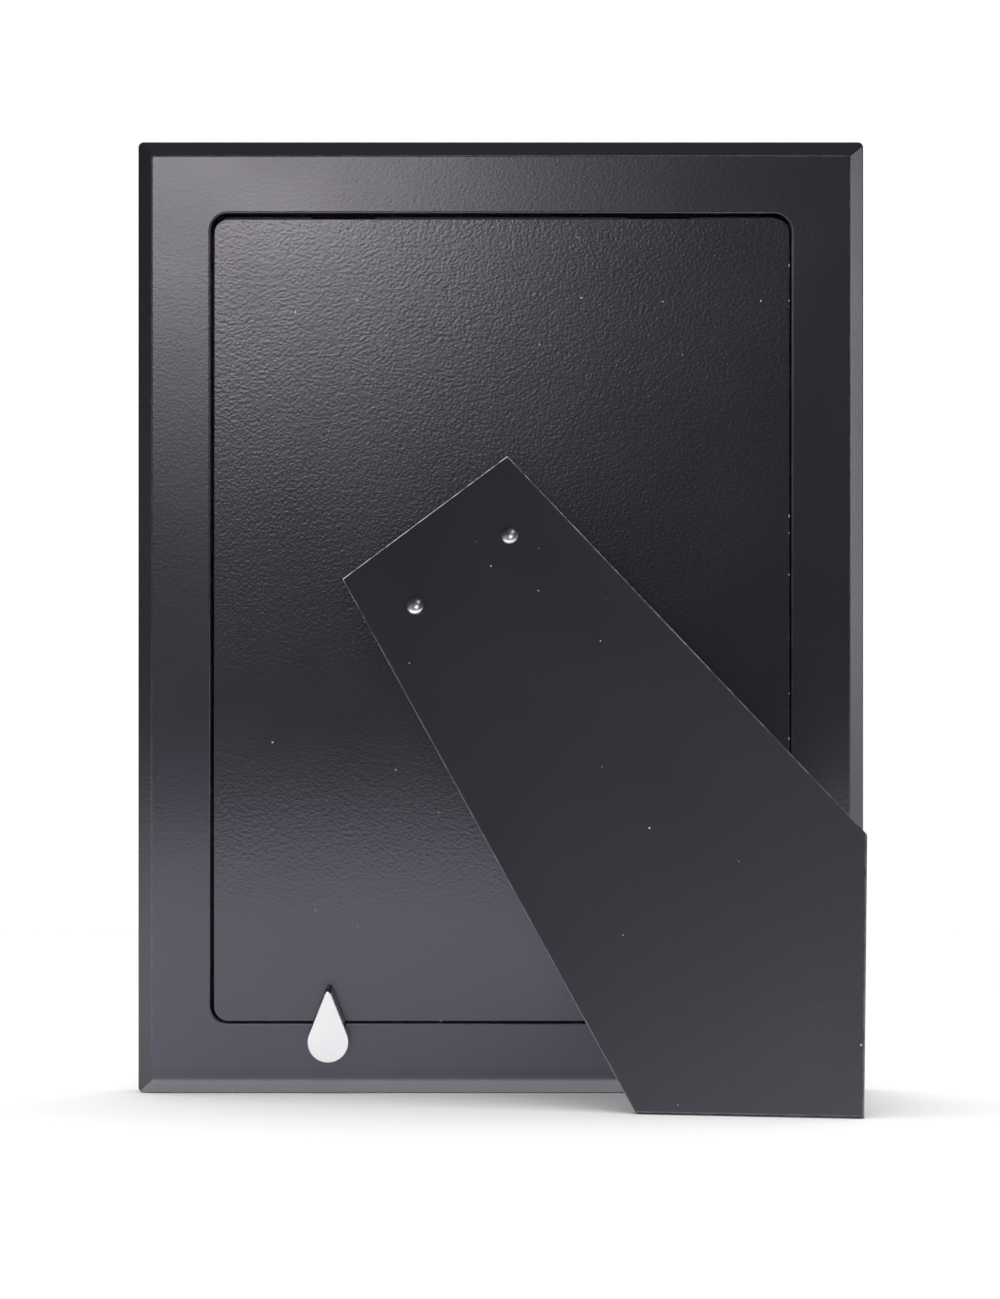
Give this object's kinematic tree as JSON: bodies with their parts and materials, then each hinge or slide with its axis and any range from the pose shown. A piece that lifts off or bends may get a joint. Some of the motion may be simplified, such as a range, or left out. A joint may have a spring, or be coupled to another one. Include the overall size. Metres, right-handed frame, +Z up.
{
  "type": "photo frame",
  "caption": "Upright tabletop photo frame with a chamfered black body, a recessed back panel held by a teardrop turn button, and a slanted easel leg on a hinge.",
  "frame": {"origin": "centre of the bounding box on the table it stands on", "axes": "+Z up, +Y towards the leg behind the frame, -Y towards the viewer of the picture, +X to the left as seen from behind"},
  "size_m": [0.161, 0.085, 0.2093],
  "materials": {
    "lacquer": "satin black lacquer on fibreboard",
    "grained_board": "black coating with a fine pebbled grain",
    "leg_board": "smooth satin black",
    "glass": "clear",
    "print": "semi-gloss print of soft bands",
    "card": "dark grey card",
    "hinge_steel": "zinc plated",
    "polished_steel": "polished",
    "nickel": "satin nickel plate",
    "brass": "turned"
  },
  "bodies": {
    "frame": {"frame_body": "lacquer", "front_glass": "glass", "photo_print": "print", "filler_card": "card", "back_panel": "grained_board", "hinge_panel_leaf": "hinge_steel", "hinge_pin": "hinge_steel", "panel_rivet_left": "hinge_steel", "panel_rivet_right": "hinge_steel", "rivet_washer_left": "hinge_steel", "rivet_washer_right": "hinge_steel", "button_bush": "brass"},
    "leg": {"easel_leg": "leg_board", "hinge_leg_leaf": "hinge_steel", "leg_rivet_left": "polished_steel", "leg_rivet_right": "polished_steel"},
    "button": {"turn_button": "nickel", "button_stud": "nickel"}
  },
  "joints": [
    {"name": "leg_hinge", "type": "hinge", "parent": "frame", "child": "leg", "pos_m": [0.01167, -0.00404, 0.11815], "axis": [0.8016, -0.1079, -0.5881], "range_deg": [-25, 0]},
    {"name": "button_turn", "type": "hinge", "parent": "frame", "child": "button", "pos_m": [0.0379, -0.02512, 0.01211], "axis": [0, 0.9836, -0.1805], "continuous": true}
  ]
}
